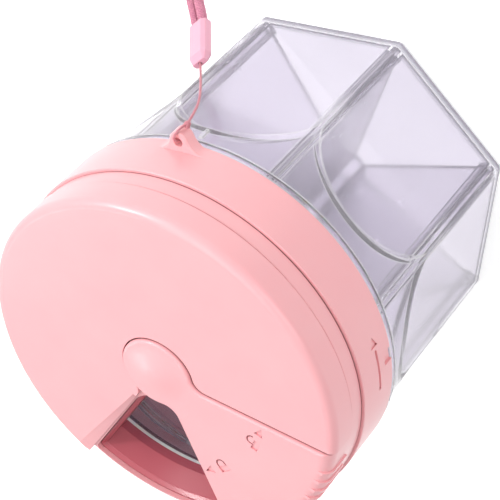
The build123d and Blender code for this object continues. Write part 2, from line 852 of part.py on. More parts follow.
def hitch_points():
    """The string's turn over the tab's nose, down the hole and back below."""
    reach = tab_reach - tab_nose_radius
    lay = string_diameter / 2 + fit_gap
    top = jar_height + tab_lift + tab_thickness + lay
    foot = jar_height + tab_lift - lay
    nose = tab_reach + lay
    return [
        at_angle(tab_angle - 0.9, nose + 0.5, top - 3.0),
        at_angle(tab_angle - 0.3, nose + 0.2, top - 0.9),
        at_angle(tab_angle + 0.4, nose - 1.3, top + 0.7),
        at_angle(tab_angle + 0.5, reach + 0.4, top - 0.1),
        at_angle(tab_angle + 0.2, reach - 0.3, top - 2.3),
        at_angle(tab_angle + 0.1, reach + 0.2, foot + 0.1),
        at_angle(tab_angle - 0.5, nose - 1.6, foot - 0.4),
        at_angle(tab_angle - 1.2, nose + 0.1, foot + 0.6),
    ]


def make_string_hitch():
    return tube(hitch_points(), string_diameter, "string_hitch")


def make_strap_loop():
    """Both strands of the strap and the loop between them, as one cord."""
    across = bead_plane().x_dir * strand_offset()
    seat = bead_foot + bead_direction * (bead_length - bead_slot_depth + seal_gap)
    mouth = bead_foot + bead_direction * (bead_length + 0.6)
    points = [seat + across, mouth + across] + strap_down + strap_loop_end + strap_up
    points += [mouth - across, seat - across]
    return tube(points, strap_diameter, "strap_loop")


makers = {
    "jar_shell": make_jar_shell,
    "divider_insert": make_divider_insert,
    "neck_gasket": make_neck_gasket,
    "collar": make_collar,
    "slip_ring": make_slip_ring,
    "dial": make_dial,
    "outlet_chute": make_outlet_chute,
    "selector_plate": make_selector_plate,
    "seal_pad": make_seal_pad,
    "click_spring": make_click_spring,
    "screw_washer": make_screw_washer,
    "centre_screw": make_centre_screw,
    "cover": make_cover,
    "outlet_seal": make_outlet_seal,
    "string_hitch": make_string_hitch,
    "string_knot": make_string_knot,
    "string_run": make_string_run,
    "bead": make_bead,
    "stopper_knot": make_stopper_knot,
    "strap_loop": make_strap_loop,
}

os.makedirs("parts", exist_ok=True)
for name, maker in makers.items():
    export_step(maker(), f"parts/{name}.step")
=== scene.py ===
# %% [markdown]
# # A seven-compartment pill organizer with a wrist strap
# The object is a clear jar with seven flat sides, a wide pink lid that turns, a cover that
# opens an outlet in the lid, and a braided wrist strap on a string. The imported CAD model
# is loaded first and stays fixed. Every piece made here is placed in its frame, in metres.

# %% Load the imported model
import bpy
from math import cos, pi, sin
from mathutils import Matrix, Vector


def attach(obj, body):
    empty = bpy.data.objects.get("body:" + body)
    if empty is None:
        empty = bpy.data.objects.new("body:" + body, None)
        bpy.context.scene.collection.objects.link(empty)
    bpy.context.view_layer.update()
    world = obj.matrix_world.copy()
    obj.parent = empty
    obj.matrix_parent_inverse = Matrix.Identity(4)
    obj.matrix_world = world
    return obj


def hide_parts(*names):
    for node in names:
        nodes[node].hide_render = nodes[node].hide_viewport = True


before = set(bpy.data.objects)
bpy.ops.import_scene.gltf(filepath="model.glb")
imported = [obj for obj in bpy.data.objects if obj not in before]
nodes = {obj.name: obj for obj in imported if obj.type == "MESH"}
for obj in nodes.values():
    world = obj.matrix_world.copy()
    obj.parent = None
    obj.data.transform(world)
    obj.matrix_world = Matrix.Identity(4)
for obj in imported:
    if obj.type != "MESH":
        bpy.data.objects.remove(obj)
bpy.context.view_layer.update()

mm = 0.001

# %% [markdown]
# ## Camera
# The photograph is a product shot in which the organizer lies tilted in the air. Here it
# stands on its base, so the camera is rolled instead. Its place and its three directions
# were solved from points of the lid and the jar that both the picture and the CAD show.

# %% Camera
def make_camera(place_mm, right, up, lens):
    """A camera at this place, turned so that these directions are right and up in the picture."""
    right = Vector(right).normalized()
    up = Vector(up)
    up = (up - right * right.dot(up)).normalized()
    turn = Matrix((right, up, right.cross(up))).transposed().to_4x4()
    data = bpy.data.cameras.new("camera")
    data.sensor_width = 36.0
    data.lens = lens
    made = bpy.data.objects.new("camera", data)
    made.matrix_world = Matrix.Translation(Vector(place_mm) * mm) @ turn
    bpy.context.scene.collection.objects.link(made)
    return made


camera_place_mm = (-242.577, -294.173, 365.034)
camera_right = (-0.8392, 0.1372, -0.5262)
camera_up = (0.2224, -0.7965, -0.5623)
camera = make_camera(camera_place_mm, camera_right, camera_up, lens=131.62)
bpy.context.scene.camera = camera
bpy.context.scene.view_settings.view_transform = "Standard"
print("camera at", [round(x, 3) for x in camera.location])

# %% [markdown]
# ## Helpers for colours and nodes
# Hex colours are written as the eye sees them (sRGB), but shaders count in linear light,
# so one function turns them, with the numbers of the sRGB standard. Another adds a node
# with its settings and its links, which keeps every material and every Geometry Nodes tree
# short. An input may be a plain value, a socket, or a node, which stands for the first of
# its outputs that is in use.

# %% Helpers for colours and nodes
def linear(hex_colour):
    """An sRGB hex colour as the linear numbers that a shader takes."""
    parts = [int(hex_colour[k:k + 2], 16) / 255 for k in (0, 2, 4)]
    return [p / 12.92 if p <= 0.04045 else ((p + 0.055) / 1.055) ** 2.4 for p in parts] + [1.0]


def set_inputs(tree, node, inputs):
    """Gives each named or numbered input its value, or its link."""
    for name, value in inputs.items():
        if isinstance(value, bpy.types.Node):
            value = next(socket for socket in value.outputs if socket.enabled)
        if isinstance(value, bpy.types.NodeSocket):
            tree.links.new(value, node.inputs[name])
        else:
            node.inputs[name].default_value = value


def add_node(tree, kind, inputs=None, **settings):
    """Adds a node with its settings and fills its inputs."""
    made = tree.nodes.new(kind)
    for name, value in settings.items():
        setattr(made, name, value)
    set_inputs(tree, made, inputs or {})
    return made


# A Mix node has a pair of inputs for each kind of data. These two take the colours.
colour_a, colour_b = 6, 7


def per_mm(size_mm):
    """The texture scale at which one patch of noise is about this many millimetres wide."""
    return 1 / (size_mm * mm)


print("mid grey 808080 in linear light is", round(linear("808080")[0], 3))

# %% [markdown]
# ## The cords' routes
# The lanyard is a string, knotted to a tab on the lid, that runs through a bead. In the
# bead both ends of a braided strap meet it. Each route is one smooth NURBS spline whose
# control points are the route that the CAD tube follows. The strap is held up by the bead
# and then rests on the floor, out of the picture.

# %% Routes
string_route = [
    (-2.18, -58.95, 71.39),
    (-2.1, -60.1, 67.6),
    (-0.6, -60.7, 63.4),
    (1.9, -61.0, 59.2),
    (4.2, -61.5, 55.5),
    (6.41, -62.12, 52.19),
    (10.38, -64.6, 45.42),
]
strap_route = [
    (10.83, -66.29, 42.76),
    (12.26, -67.18, 40.33),
    (19.4, -71.3, 32.1),
    (24.0, -75.8, 22.8),
    (31.0, -80.8, 14.0),
    (39.5, -85.8, 6.0),
    (49.5, -90.2, 1.5),
    (60.5, -92.6, 1.5),
    (71.0, -89.6, 1.5),
    (77.6, -81.2, 1.5),
    (76.6, -70.8, 1.5),
    (68.4, -64.2, 1.5),
    (57.6, -64.6, 1.5),
    (47.8, -69.2, 4.6),
    (38.8, -72.4, 10.6),
    (30.2, -71.8, 18.8),
    (24.0, -68.7, 29.4),
    (14.15, -65.55, 40.85),
    (12.73, -64.66, 43.27),
]
hitch_route = [
    (-1.53, -58.48, 72.4),
    (-0.91, -58.19, 74.5),
    (-0.2, -56.7, 76.1),
    (-0.1, -55.2, 75.3),
    (-0.38, -54.5, 73.1),
    (-0.48, -55.0, 70.6),
    (-1.08, -56.39, 70.1),
    (-1.82, -58.07, 71.1),
]
print(len(string_route), len(strap_route), len(hitch_route), "points on string, strap and hitch")

# %% [markdown]
# ## From points to a line
# A spline of order 3 that starts and ends on its end points is what a bent cord looks like:
# it cuts inside each corner and has no kink. The order is set after the points, because
# before them Blender keeps it at 2, which is straight runs. The real length is measured on
# the finished line.

# %% Smooth lines on the routes
def smooth_route(name, points_mm):
    """A curve object with one NURBS spline on these points."""
    data = bpy.data.curves.new(name, "CURVE")
    data.dimensions = "3D"
    data.resolution_u = 24
    spline = data.splines.new("NURBS")
    spline.points.add(len(points_mm) - 1)
    for point, place in zip(spline.points, points_mm):
        point.co = (place[0] * mm, place[1] * mm, place[2] * mm, 1.0)
    spline.order_u = 3
    spline.use_endpoint_u = True
    made = bpy.data.objects.new(name, data)
    bpy.context.scene.collection.objects.link(made)
    return made


def evaluated_mesh(curve):
    """What a curve and its modifiers make, as a plain mesh."""
    bpy.context.view_layer.update()
    ready = curve.evaluated_get(bpy.context.evaluated_depsgraph_get())
    return bpy.data.meshes.new_from_object(ready)


def line_of(points_mm):
    """The points that the smooth spline of a route passes through."""
    curve = smooth_route("measured_path", points_mm)
    mesh = evaluated_mesh(curve)
    points = [tuple(v.co) for v in mesh.vertices]
    bpy.data.meshes.remove(mesh)
    bpy.data.objects.remove(curve)
    return points


def length_mm(points):
    """The length along a line of points."""
    return round(sum((Vector(b) - Vector(a)).length for a, b in zip(points, points[1:])) / mm, 1)


string_line = line_of(string_route)
strap_line = line_of(strap_route)
print("string", length_mm(string_line), "mm, strap", length_mm(strap_line), "mm")

# %% [markdown]
# ## Rope and braid
# A wrist strap is a tubular braid: sixteen yarn bundles, half of them winding left and half
# right, pass over and under each other round a soft core. The string is three plies twisted
# one way. Both could be a tube with a painted pattern, but the real relief is what catches
# the light, so one Geometry Nodes tree lays every strand along the route. It copies the
# route once for each strand, moves each copy sideways by an angle that grows with the
# distance along the route, and, for a braid, lets it rise and sink at every crossing.

# %% Inputs of the cord tree
cord_inputs = [
    ("Route", "NodeSocketGeometry"),
    ("Strands", "NodeSocketInt"),
    ("Braided", "NodeSocketFloat"),
    ("Lay length", "NodeSocketFloat"),
    ("Lay radius", "NodeSocketFloat"),
    ("Strand radius", "NodeSocketFloat"),
    ("Rise", "NodeSocketFloat"),
    ("Step", "NodeSocketFloat"),
    ("Core radius", "NodeSocketFloat"),
    ("Finish", "NodeSocketMaterial"),
]
print(len(cord_inputs), "inputs: strands, their lay and thickness, the core, and the finish")

# %% [markdown]
# ## Where each strand runs
# The place of a strand is a short sum. Each line below is one Math node: its name, what it
# does, and what goes in. A word in quotes is an input of the tree, the strand's number
# ("index"), the distance along the route ("along"), or the result of an earlier line.
# "hand" is 1 for a strand that winds right and -1 for one that winds left. "over or under"
# is a wave whose tops and bottoms fall on the crossings. A strand's shade number steps by
# the golden ratio, so that neighbours differ.

# %% The sum behind the cord tree
golden_ratio = 0.618
strand_sum = [
    ("laps", "DIVIDE", "along", "Lay length"),
    ("turn", "MULTIPLY", "laps", 2 * pi),
    ("odd", "MODULO", "index", 2.0),
    ("goes left", "MULTIPLY", "odd", "Braided"),
    ("hand", "MULTIPLY_ADD", "goes left", -2.0, 1.0),
    ("share", "DIVIDE", "index", "Strands"),
    ("first angle", "MULTIPLY", "share", 2 * pi),
    ("angle", "MULTIPLY_ADD", "turn", "hand", "first angle"),
    ("half", "MULTIPLY", "Strands", 0.5),
    ("crossings", "MULTIPLY", "half", "turn"),
    ("wave", "SINE", "crossings"),
    ("over or under", "MULTIPLY", "wave", "hand"),
    ("lift", "MULTIPLY", "over or under", "Rise"),
    ("radius", "ADD", "Lay radius", "lift"),
    ("cosine", "COSINE", "angle"),
    ("along normal", "MULTIPLY", "cosine", "radius"),
    ("sine", "SINE", "angle"),
    ("along side", "MULTIPLY", "sine", "radius"),
    ("golden steps", "MULTIPLY", "index", golden_ratio),
    ("shade", "FRACT", "golden steps"),
]
print(len(strand_sum), "steps place and shade a strand")

# %% [markdown]
# ## The cord tree
# Normal, tangent and their cross product are the three directions at each point of the
# route. The sum says how far a strand lies along the first and the last of them. A small
# six-sided profile is enough for a yarn bundle, which is a fraction of a millimetre thick.

# %% Geometry Nodes tree for laid and braided cord
def make_rope_tree():
    """A tree that lays strands and a core along a route."""
    tree = bpy.data.node_groups.new("laid_cord", "GeometryNodeTree")
    for name, kind in cord_inputs:
        tree.interface.new_socket(name, in_out="INPUT", socket_type=kind)
    tree.interface.new_socket("Cord", in_out="OUTPUT", socket_type="NodeSocketGeometry")
    given = add_node(tree, "NodeGroupInput").outputs

    stepped = add_node(
        tree, "GeometryNodeResampleCurve",
        {"Curve": given["Route"], "Length": given["Step"]},
        mode="LENGTH",
    )
    copies = add_node(
        tree, "GeometryNodeDuplicateElements",
        {"Geometry": stepped, "Amount": given["Strands"]},
        domain="SPLINE",
    )
    result = {name: given[name] for name, kind in cord_inputs}
    result["index"] = copies.outputs["Duplicate Index"]
    result["along"] = add_node(tree, "GeometryNodeSplineParameter").outputs["Length"]
    for name, operation, *parts in strand_sum:
        parts = [result[part] if isinstance(part, str) else part for part in parts]
        inputs = dict(enumerate(parts))
        result[name] = add_node(tree, "ShaderNodeMath", inputs, operation=operation)

    normal = add_node(tree, "GeometryNodeInputNormal")
    tangent = add_node(tree, "GeometryNodeInputTangent")
    side = add_node(
        tree, "ShaderNodeVectorMath", {0: tangent, 1: normal}, operation="CROSS_PRODUCT",
    )
    moves = []
    for direction, amount in ((normal, "along normal"), (side, "along side")):
        move = {0: direction, "Scale": result[amount]}
        moves.append(add_node(tree, "ShaderNodeVectorMath", move, operation="SCALE"))
    offset = add_node(tree, "ShaderNodeVectorMath", dict(enumerate(moves)), operation="ADD")
    laid = add_node(tree, "GeometryNodeSetPosition", {"Geometry": copies, "Offset": offset})
    marked = add_node(
        tree, "GeometryNodeStoreNamedAttribute",
        {"Geometry": laid, "Name": "strand", "Value": result["shade"]},
        data_type="FLOAT", domain="POINT",
    )

    yarn = {"Resolution": 6, "Radius": given["Strand radius"]}
    core = {"Resolution": 12, "Radius": given["Core radius"]}
    joined = add_node(tree, "GeometryNodeJoinGeometry")
    for curve, round_profile in ((marked, yarn), (stepped, core)):
        profile = add_node(tree, "GeometryNodeCurvePrimitiveCircle", round_profile)
        tube = {"Curve": curve, "Profile Curve": profile, "Fill Caps": True}
        set_inputs(tree, joined, {"Geometry": add_node(tree, "GeometryNodeCurveToMesh", tube)})
    real = add_node(tree, "GeometryNodeRealizeInstances", {"Geometry": joined})
    smooth = add_node(tree, "GeometryNodeSetShadeSmooth", {"Geometry": real})
    finished = add_node(
        tree, "GeometryNodeSetMaterial", {"Geometry": smooth, "Material": given["Finish"]},
    )
    add_node(tree, "NodeGroupOutput", {"Cord": finished})
    return tree


rope_tree = make_rope_tree()
print("cord tree has", len(rope_tree.nodes), "nodes")

# %% [markdown]
# ## What every finish is made from
# A finish starts from the Principled shader, with the numbers that are the same all over
# set on its own sockets. Noise on Object coordinates gives what varies. Its values lie
# mostly between 0.2 and 0.8, so that range is what a Map Range node spreads over the wanted
# one. Shade in gaps is painted: the ambient occlusion node sees how closed in a point is, and
# a darker colour is mixed in there.

# %% Helpers for finishes
def new_material(name, **uniform):
    """A material with one Principled shader. uniform sets the shader's own sockets."""
    made = bpy.data.materials.new(name)
    made.use_nodes = True
    shader = made.node_tree.nodes["Principled BSDF"]
    named = {socket.replace("_", " "): value for socket, value in uniform.items()}
    set_inputs(made.node_tree, shader, named)
    return made, made.node_tree, shader


def noise_to(low, high):
    """Map Range inputs that take noise from its usual middle range to low and high."""
    return {"From Min": 0.2, "From Max": 0.8, "To Min": low, "To Max": high}


def crevice(tree, reach_mm, open_face=0.55, deep_gap=0.2):
    """1 deep in a gap narrower than about this reach, 0 on an open face: where shade is painted."""
    light = add_node(tree, "ShaderNodeAmbientOcclusion", {"Distance": reach_mm * mm}, samples=8)
    limits = {"From Min": open_face, "From Max": deep_gap}
    return add_node(tree, "ShaderNodeMapRange", {"Value": light.outputs["AO"], **limits})


print("a 1 mm patch of noise has the scale", round(per_mm(1)))

# %% [markdown]
# ## Yarn finishes
# The strap is filament polyester: each bundle is smooth and slightly shiny along its
# length, and the gaps between bundles are dark because light hardly gets in. The fibres
# are finer than the picture can show, so their streaks are drawn about 0.2 mm wide. Each
# bundle takes its own shade from the "strand" attribute, and half of what shows is that
# shade. The string is the same fibre, twisted hard, and its pink leans to the lid's.

# %% Materials for the strap and the string
def yarn_material(name, light, dark, painted_gap_shade):
    """Filament yarn whose bundles and fibres differ a little in shade."""
    made, tree, shader = new_material(
        name, IOR=1.5, Roughness=0.62, Sheen_Weight=0.25, Sheen_Roughness=0.5,
    )
    place = add_node(tree, "ShaderNodeTexCoord").outputs["Object"]
    fibres = add_node(
        tree, "ShaderNodeTexNoise", {"Vector": place, "Scale": per_mm(0.2), "Detail": 3.0},
    )
    strand = add_node(tree, "ShaderNodeAttribute", attribute_name="strand").outputs["Fac"]
    streaks = add_node(tree, "ShaderNodeMapRange", {"Value": fibres, **noise_to(-0.1, 0.6)})
    bundle_share = 0.5
    shade = add_node(
        tree, "ShaderNodeMath",
        {0: strand, 1: bundle_share, 2: streaks},
        operation="MULTIPLY_ADD", use_clamp=True,
    )
    yarn = add_node(
        tree, "ShaderNodeMix",
        {0: shade, colour_a: linear(light), colour_b: linear(dark)},
        data_type="RGBA",
    )
    # Painted shade: a dark colour mixed in where the gaps between bundles close in.
    all_over = add_node(
        tree, "ShaderNodeMix",
        {0: crevice(tree, reach_mm=0.8), colour_a: yarn, colour_b: linear(painted_gap_shade)},
        data_type="RGBA",
    )
    relief = add_node(tree, "ShaderNodeBump", {"Height": fibres, "Distance": 0.04 * mm})
    set_inputs(tree, shader, {"Base Color": all_over, "Normal": relief})
    return made


braided_polyester = yarn_material("braided_polyester", "E599B1", "C26C8A", "7E3350")
twisted_polyester = yarn_material("twisted_polyester", "E29AA4", "C06D79", "6A2C36")
print(braided_polyester.name, twisted_polyester.name)

# %% [markdown]
# ## String, hitch and strap
# The tree's result is turned into a plain mesh and the modifier goes. The strap in the
# photograph looks a little thicker than its CAD tube, so the braid stands 0.2 mm proud.

# %% Lay the cords
def lay_cord(name, route, settings, finish):
    """Runs the cord tree on a route and keeps the result as a plain mesh piece."""
    modifier = route.modifiers.new("laid_cord", "NODES")
    modifier.node_group = rope_tree
    sockets = rope_tree.interface.items_tree
    identifiers = {item.name: item.identifier for item in sockets if item.in_out == "INPUT"}
    for key, value in settings.items():
        modifier[identifiers[key]] = value
    modifier[identifiers["Finish"]] = finish
    mesh = evaluated_mesh(route)
    route.modifiers.remove(modifier)
    bpy.data.objects.remove(route)
    made = bpy.data.objects.new(name, mesh)
    bpy.context.scene.collection.objects.link(made)
    print(name, len(mesh.polygons), "faces")
    return made


def plies(radius_mm):
    """Three plies that together fill a round string of this radius."""
    return {
        "Strands": 3,
        "Braided": 0.0,
        "Lay length": 3.4 * mm,
        "Lay radius": radius_mm * 0.5 * mm,
        "Strand radius": radius_mm * 0.52 * mm,
        "Rise": 0.0,
        "Step": 0.2 * mm,
        "Core radius": radius_mm * 0.3 * mm,
    }


braid = {
    "Strands": 16,
    "Braided": 1.0,
    "Lay length": 7.6 * mm,
    "Lay radius": 1.0 * mm,
    "Strand radius": 0.26 * mm,
    "Rise": 0.13 * mm,
    "Step": 0.36 * mm,
    "Core radius": 0.84 * mm,
}
thin_string = plies(radius_mm=0.35)
string_path = smooth_route("string_path", string_route)
hitch_path = smooth_route("hitch_path", hitch_route)
strap_path = smooth_route("strap_path", strap_route)
string = lay_cord("string", string_path, thin_string, twisted_polyester)
hitch = lay_cord("hitch", hitch_path, thin_string, twisted_polyester)
strap = lay_cord("strap", strap_path, braid, braided_polyester)

# %% [markdown]
# ## Knots
# Two knots stop the string: one at the tab, and one hidden in the bead. A real stopper
# knot is a barrel of a few tight turns. A helix as the route, laid with the same plies,
# gives that look without modelling how the string passes through itself. Pulled tight, the
# string is a little thinner there.

# %% Tie the knots
points_per_turn = 8
tight_string = plies(radius_mm=0.33)


def barrel_route(centre_mm, direction, turns, radius_mm, pitch_mm):
    """A helix of a few turns about a cord's direction."""
    axis = Vector(direction).normalized()
    side = axis.orthogonal().normalized()
    other = axis.cross(side)
    points = []
    count = round(turns * points_per_turn)
    for k in range(count + 1):
        angle = 2 * pi * k / points_per_turn
        height = (k / count - 0.5) * turns * pitch_mm
        outward = side * cos(angle) + other * sin(angle)
        points.append(Vector(centre_mm) + axis * height + outward * radius_mm)
    return points


def tie_knot(name, centre_mm, direction, turns, radius_mm, pitch_mm=0.58):
    """A barrel knot of twisted string."""
    route_mm = barrel_route(centre_mm, direction, turns, radius_mm, pitch_mm)
    route = smooth_route(name + "_path", route_mm)
    return lay_cord(name, route, tight_string, twisted_polyester)


along_string, along_bead = (0.02, -0.29, -0.96), (0.4817, -0.3011, -0.823)
knot = tie_knot("knot", (-2.2, -58.7, 72.2), along_string, turns=2.6, radius_mm=0.62)
stopper = tie_knot("stopper", (10.87, -64.9, 44.58), along_bead, turns=3.4, radius_mm=0.7)

# %% [markdown]
# ## What the cords stand for
# Every piece rides on the lid, which carries the tab, and stands for its CAD tube or knot.
# The hitch and the knots are pieces on the string.

stands_for = [
    (string, "string_run", "string"),
    (hitch, "string_hitch", "string"),
    (knot, "string_knot", "string"),
    (stopper, "stopper_knot", "string"),
    (strap, "strap_loop", "strap"),
]
for piece, node, slot in stands_for:
    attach(piece, "lid")
    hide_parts(node)
print(len(stands_for), "pieces of the lanyard ride on the lid")

# %% [markdown]
# ## Pink lid plastic
# The lid is injection-moulded ABS from a mould with a fine spark-eroded finish. To the eye
# that is an even pink with a soft highlight. The grain is about 0.15 mm, and very slow
# waves of colour come from how the plastic cooled. Light that falls into a gap or an
# engraving bounces between pink walls and comes out a deep brown red, and that shade is
# painted: the ambient occlusion node mixes a deep brown red into what lies in a crevice. The
# bevel node rounds every edge a little, as a mould does, so the edges catch a thin light. The
# outlet's chute is moulded from the same pink, but it lies deep in the lid, so its deep rose
# is painted shade. The bead is moulded in a paler pink with rounder edges.

# %% Materials for the lid, the chute and the bead
def moulded_abs(name, colour, deeper, painted_gap_shade, roughness=0.29, edge_mm=0.12):
    """Moulded plastic with a fine grain, soft edges and painted shade in its gaps."""
    made, tree, shader = new_material(
        name, IOR=1.53, Specular_IOR_Level=0.45,
        Subsurface_Weight=0.1, Subsurface_Scale=0.5 * mm, Subsurface_Radius=(1.0, 0.45, 0.4),
    )
    place = add_node(tree, "ShaderNodeTexCoord").outputs["Object"]
    clouds = add_node(
        tree, "ShaderNodeTexNoise", {"Vector": place, "Scale": per_mm(14.0), "Detail": 2.0},
    )
    grain = add_node(
        tree, "ShaderNodeTexNoise", {"Vector": place, "Scale": per_mm(0.15), "Detail": 2.0},
    )
    depth = add_node(tree, "ShaderNodeMapRange", {"Value": clouds, **noise_to(0.0, 1.0)})
    face = add_node(
        tree, "ShaderNodeMix",
        {0: depth, colour_a: linear(colour), colour_b: linear(deeper)},
        data_type="RGBA",
    )
    # Painted shade: a deep colour mixed in where a gap or engraving closes in.
    all_over = add_node(
        tree, "ShaderNodeMix",
        {0: crevice(tree, reach_mm=0.75), colour_a: face, colour_b: linear(painted_gap_shade)},
        data_type="RGBA",
    )
    change = 0.008
    gloss = add_node(
        tree, "ShaderNodeMapRange",
        {"Value": clouds, **noise_to(roughness - change, roughness + change)},
    )
    soft_edges = add_node(tree, "ShaderNodeBevel", {"Radius": edge_mm * mm}, samples=4)
    relief = add_node(
        tree, "ShaderNodeBump", {"Height": grain, "Distance": 0.005 * mm, "Normal": soft_edges},
    )
    set_inputs(tree, shader, {"Base Color": all_over, "Roughness": gloss, "Normal": relief})
    return made


pink_abs = moulded_abs("pink_moulded_abs", "F8B6BA", "F7B1B6", "86363F")
# The chute is the lid's pink; its deep rose colours are painted shade for the inside of the outlet.
chute_shaded_abs = moulded_abs("chute_painted_shade_abs", "B4545F", "AE4F5B", "4A1520", roughness=0.28)
bead_plastic = moulded_abs(
    "rose_polypropylene", "F4B5C8", "EFABC0", "8A3D50", roughness=0.28, edge_mm=0.3,
)
print(pink_abs.name, chute_shaded_abs.name, bead_plastic.name)

# %% [markdown]
# ## Edges and heights of the clear parts
# Jar and dividers are moulded from clear styrene-acrylonitrile (SAN) with a slight haze.
# Most of the light passes straight through, a little is scattered in the wall, which gives
# the flat sides their milky violet white. An edge, where the wall is seen end on, looks greyer,
# and the concave edges round the ledges catch light and look white: both are painted, as grey
# shade and a white highlight. The bevel node's rounded normal differs from the true one in a
# narrow strip along every edge, and height tells the painted grey edges near the base from the
# painted white ones round the ledges. The jar's thick floor looks like a grey band through its
# side, and that band is painted shade.

# %% Masks for painted edge shade, edge highlights and floor shade on the clear parts
def edge_strip(tree, width_mm, sharp=0.06):
    """1 on a narrow strip along every edge, 0 on flat and gently curved walls.

    sharp is how far the two normals have to part for the full strip.
    """
    rounded = add_node(tree, "ShaderNodeBevel", {"Radius": width_mm * mm}, samples=6)
    true = add_node(tree, "ShaderNodeNewGeometry").outputs["Normal"]
    same = add_node(tree, "ShaderNodeVectorMath", {0: rounded, 1: true}, operation="DOT_PRODUCT")
    return add_node(
        tree, "ShaderNodeMapRange", {"Value": same, "From Min": 1.0, "From Max": 1.0 - sharp},
    )


def height_step(tree, low_mm, high_mm):
    """0 below the first height and 1 above the second."""
    place = add_node(tree, "ShaderNodeTexCoord").outputs["Object"]
    height = add_node(tree, "ShaderNodeSeparateXYZ", {"Vector": place}).outputs["Z"]
    return add_node(
        tree, "ShaderNodeMapRange",
        {"Value": height, "From Min": low_mm * mm, "From Max": high_mm * mm},
    )


def floor_band_shade(tree, low_mm=1.6, high_mm=4.2, underside=0.22, flat=0.9):
    """Mask of painted floor shade: 1 on the low band of the side, in front of the thick floor, a
    share on the underside.
    """
    normal = add_node(tree, "ShaderNodeNewGeometry").outputs["Normal"]
    upright = add_node(tree, "ShaderNodeSeparateXYZ", {"Vector": normal}).outputs["Z"]
    level = add_node(tree, "ShaderNodeMath", {0: upright}, operation="ABSOLUTE")
    side = add_node(tree, "ShaderNodeMath", {0: level, 1: flat}, operation="LESS_THAN")
    above = height_step(tree, low_mm, high_mm)
    low = add_node(tree, "ShaderNodeMath", {0: 1.0, 1: above}, operation="SUBTRACT")
    share = add_node(
        tree, "ShaderNodeMath",
        {0: side, 1: 1.0 - underside, 2: underside},
        operation="MULTIPLY_ADD",
    )
    return add_node(tree, "ShaderNodeMath", {0: share, 1: low}, operation="MULTIPLY")


ledge_band_mm = (25, 35)
print("edges turn from grey to white from {} to {} mm above the floor".format(*ledge_band_mm))

# %% [markdown]
# ## Clear jar and dividers
# The dividers are a touch more frosted than the jar. SAN's index is about 1.57. It is lower
# here, because that matches how little the real thin walls bend what is seen through them.

# %% Materials for the clear parts
def clear_san(name, tint, roughness, thick_floor=False, clear_share=0.92, edge_share=0.45):
    """Mostly clear plastic, with painted grey shade and white highlights along its edges."""
    made, tree, shader = new_material(name, IOR=1.3)
    place = add_node(tree, "ShaderNodeTexCoord").outputs["Object"]
    haze = add_node(
        tree, "ShaderNodeTexNoise", {"Vector": place, "Scale": per_mm(6.0), "Detail": 3.0},
    )
    mask = edge_strip(tree, width_mm=0.9)
    # Painted grey shade on the low band of the side, and a little on the underside, for the thick
    # floor.
    if thick_floor:
        mask = add_node(tree, "ShaderNodeMath", {0: mask, 1: floor_band_shade(tree)}, operation="MAXIMUM")
    # Painted edge light: grey shade on edges near the base, a white highlight round the ledges.
    above = height_step(tree, *ledge_band_mm)
    painted_edge_shade_and_highlight = add_node(
        tree, "ShaderNodeMix",
        {0: above, colour_a: linear("8F8B98"), colour_b: linear("FFFFFF")},
        data_type="RGBA",
    )
    colour = add_node(
        tree, "ShaderNodeMix",
        {0: mask, colour_a: linear(tint), colour_b: painted_edge_shade_and_highlight},
        data_type="RGBA",
    )
    frost = add_node(
        tree, "ShaderNodeMapRange", {"Value": haze, **noise_to(roughness * 0.8, roughness * 1.2)},
    )
    clear = add_node(
        tree, "ShaderNodeMapRange", {"Value": mask, "To Min": clear_share, "To Max": edge_share},
    )
    set_inputs(
        tree, shader, {"Base Color": colour, "Roughness": frost, "Transmission Weight": clear},
    )
    return made


clear_jar = clear_san("clear_san", "F6F3FA", roughness=0.12, thick_floor=True)
clear_divider = clear_san("frosted_san", "F7F4FB", roughness=0.24)
print(clear_jar.name, clear_divider.name)

# %% [markdown]
# ## Hidden parts
# Seals are white silicone, which is matt and lets light a little way in. The slip ring and
# the selector plate are slippery white acetal. Spring, washer and screw are stainless
# steel, drawn or turned, so they keep fine lines along the way they were worked.

# %% Materials for seals, slip ring and steel
def silicone_rubber():
    """Matt white rubber with a trace of dust."""
    made, tree, shader = new_material(
        "white_silicone", Roughness=0.55, Subsurface_Weight=0.4, Subsurface_Scale=2 * mm,
    )
    place = add_node(tree, "ShaderNodeTexCoord").outputs["Object"]
    dust = add_node(
        tree, "ShaderNodeTexNoise", {"Vector": place, "Scale": per_mm(3.0), "Detail": 3.0},
    )
    grain = add_node(
        tree, "ShaderNodeTexNoise", {"Vector": place, "Scale": per_mm(0.3), "Detail": 3.0},
    )
    amount = add_node(tree, "ShaderNodeMapRange", {"Value": dust, **noise_to(0.0, 1.0)})
    colour = add_node(
        tree, "ShaderNodeMix",
        {0: amount, colour_a: linear("F2EEEA"), colour_b: linear("E9E4E0")},
        data_type="RGBA",
    )
    relief = add_node(tree, "ShaderNodeBump", {"Height": grain, "Distance": 0.008 * mm})
    set_inputs(tree, shader, {"Base Color": colour, "Normal": relief})
    return made


def white_acetal():
    """Smooth white plastic with a soft shine."""
    made, tree, shader = new_material(
        "white_acetal", IOR=1.48, Subsurface_Weight=0.15, Subsurface_Scale=1 * mm,
    )
    place = add_node(tree, "ShaderNodeTexCoord").outputs["Object"]
    cloud = add_node(
        tree, "ShaderNodeTexNoise", {"Vector": place, "Scale": per_mm(5.0), "Detail": 3.0},
    )
    amount = add_node(tree, "ShaderNodeMapRange", {"Value": cloud, **noise_to(0.0, 1.0)})
    colour = add_node(
        tree, "ShaderNodeMix",
        {0: amount, colour_a: linear("F4F2EE"), colour_b: linear("ECEAE6")},
        data_type="RGBA",
    )
    gloss = add_node(tree, "ShaderNodeMapRange", {"Value": cloud, **noise_to(0.3, 0.4)})
    set_inputs(tree, shader, {"Base Color": colour, "Roughness": gloss})
    return made


